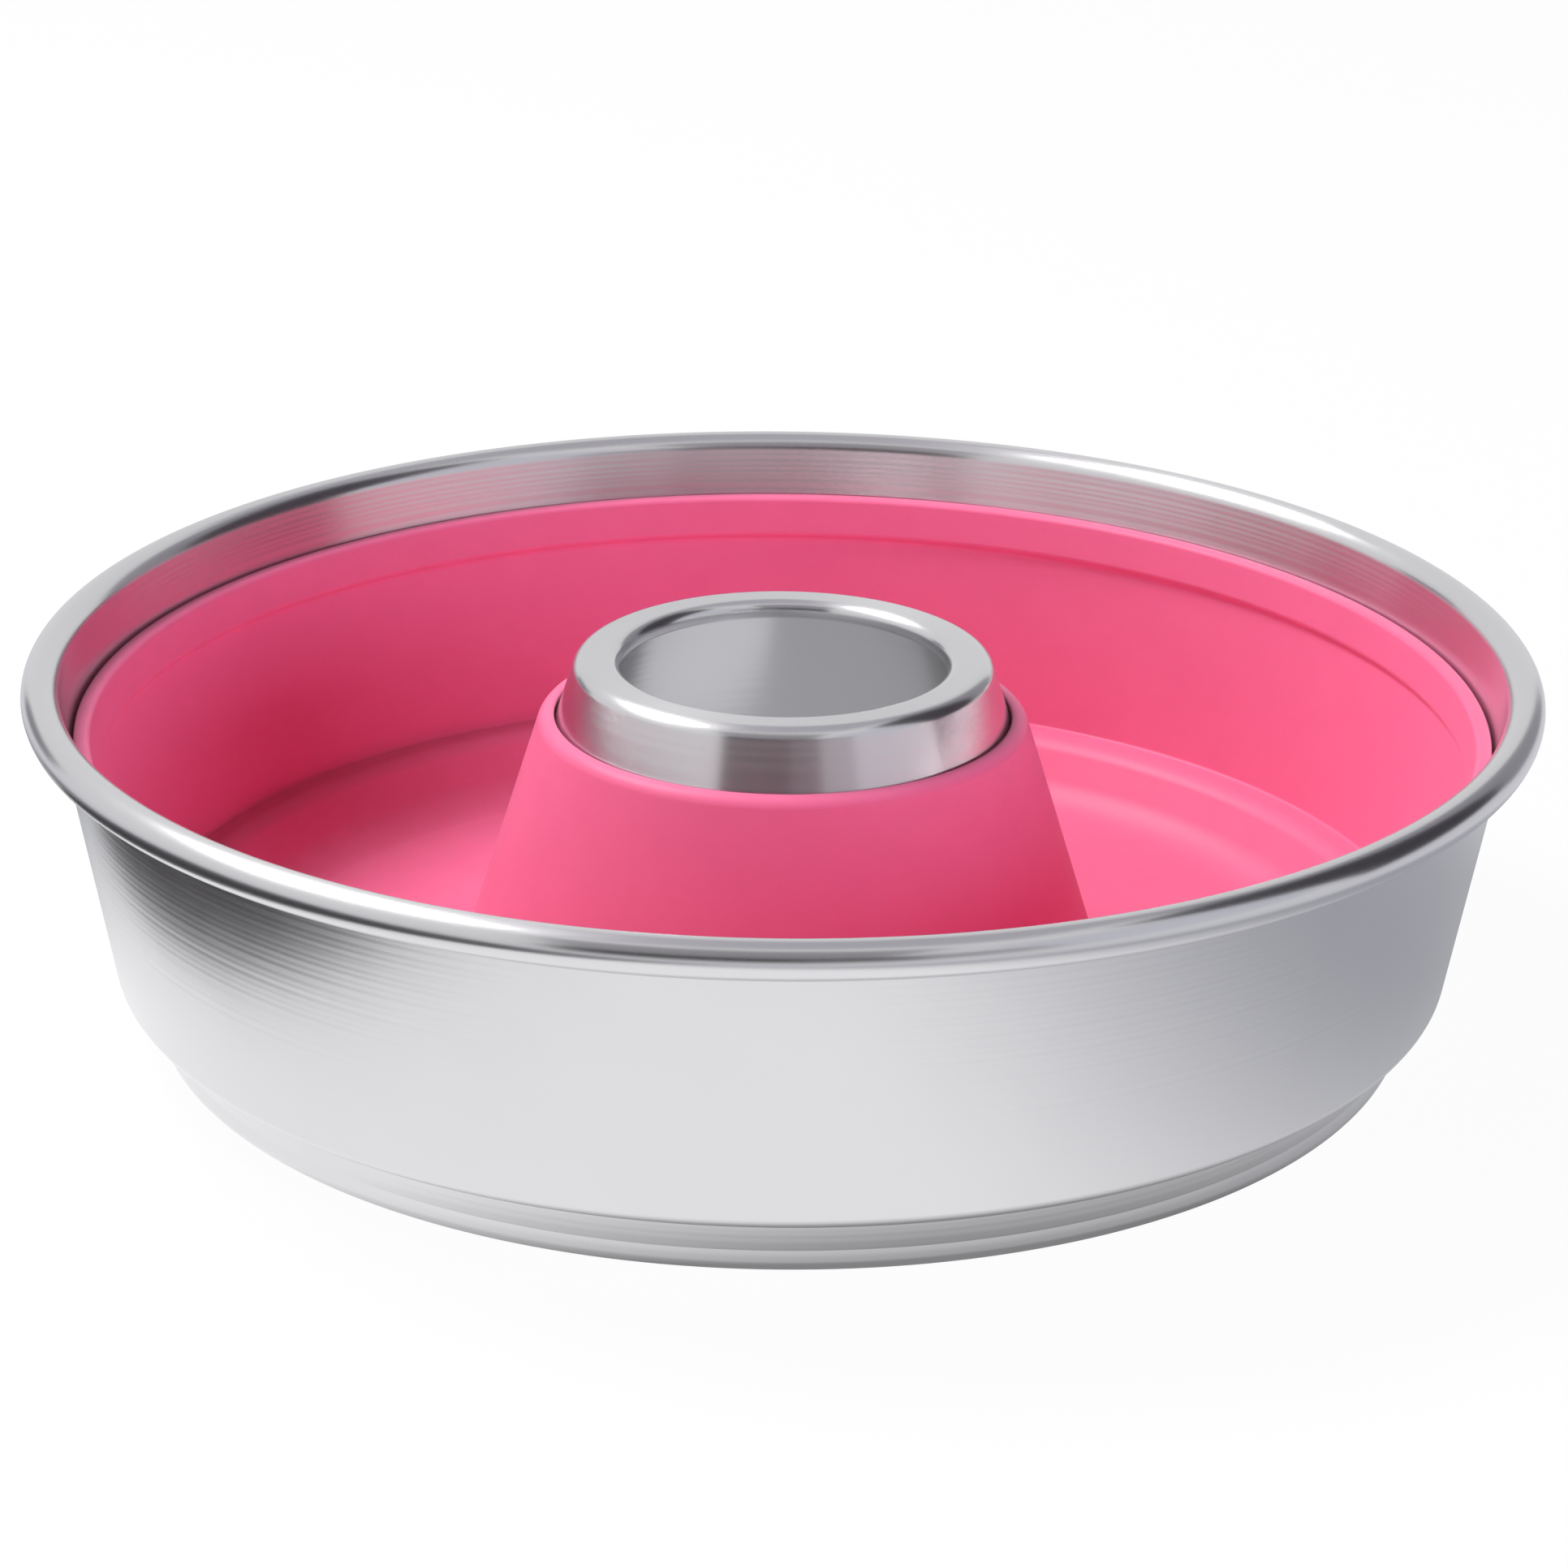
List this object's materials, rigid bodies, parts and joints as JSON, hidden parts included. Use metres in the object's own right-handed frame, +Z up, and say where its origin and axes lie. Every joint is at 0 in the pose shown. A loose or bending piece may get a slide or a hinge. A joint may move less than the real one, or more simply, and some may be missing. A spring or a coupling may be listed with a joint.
{
  "type": "silicone bundt mould in a ring pan",
  "caption": "Round ring pan of spun aluminium with a rolled rim and an open centre chimney, holding a loose soft silicone ring mould that lifts straight out.",
  "frame": {"origin": "centre of the pan's underside, on the surface it stands on", "axes": "+Z up along the pan's axis of revolution; X and Y level, the round part has no front"},
  "size_m": [0.25, 0.25, 0.0618],
  "materials": {
    "spun_aluminium": "bare, spun, satin with fine turning lines",
    "pink_silicone": "smooth satin silicone"
  },
  "bodies": {
    "pan": {"ring_pan": "spun_aluminium"},
    "mould": {"silicone_mould": "pink_silicone"}
  },
  "joints": [
    {"name": "mould_lift", "type": "slide", "parent": "pan", "child": "mould", "axis": [0, 0, 1], "range_m": [0, 0.07]}
  ]
}
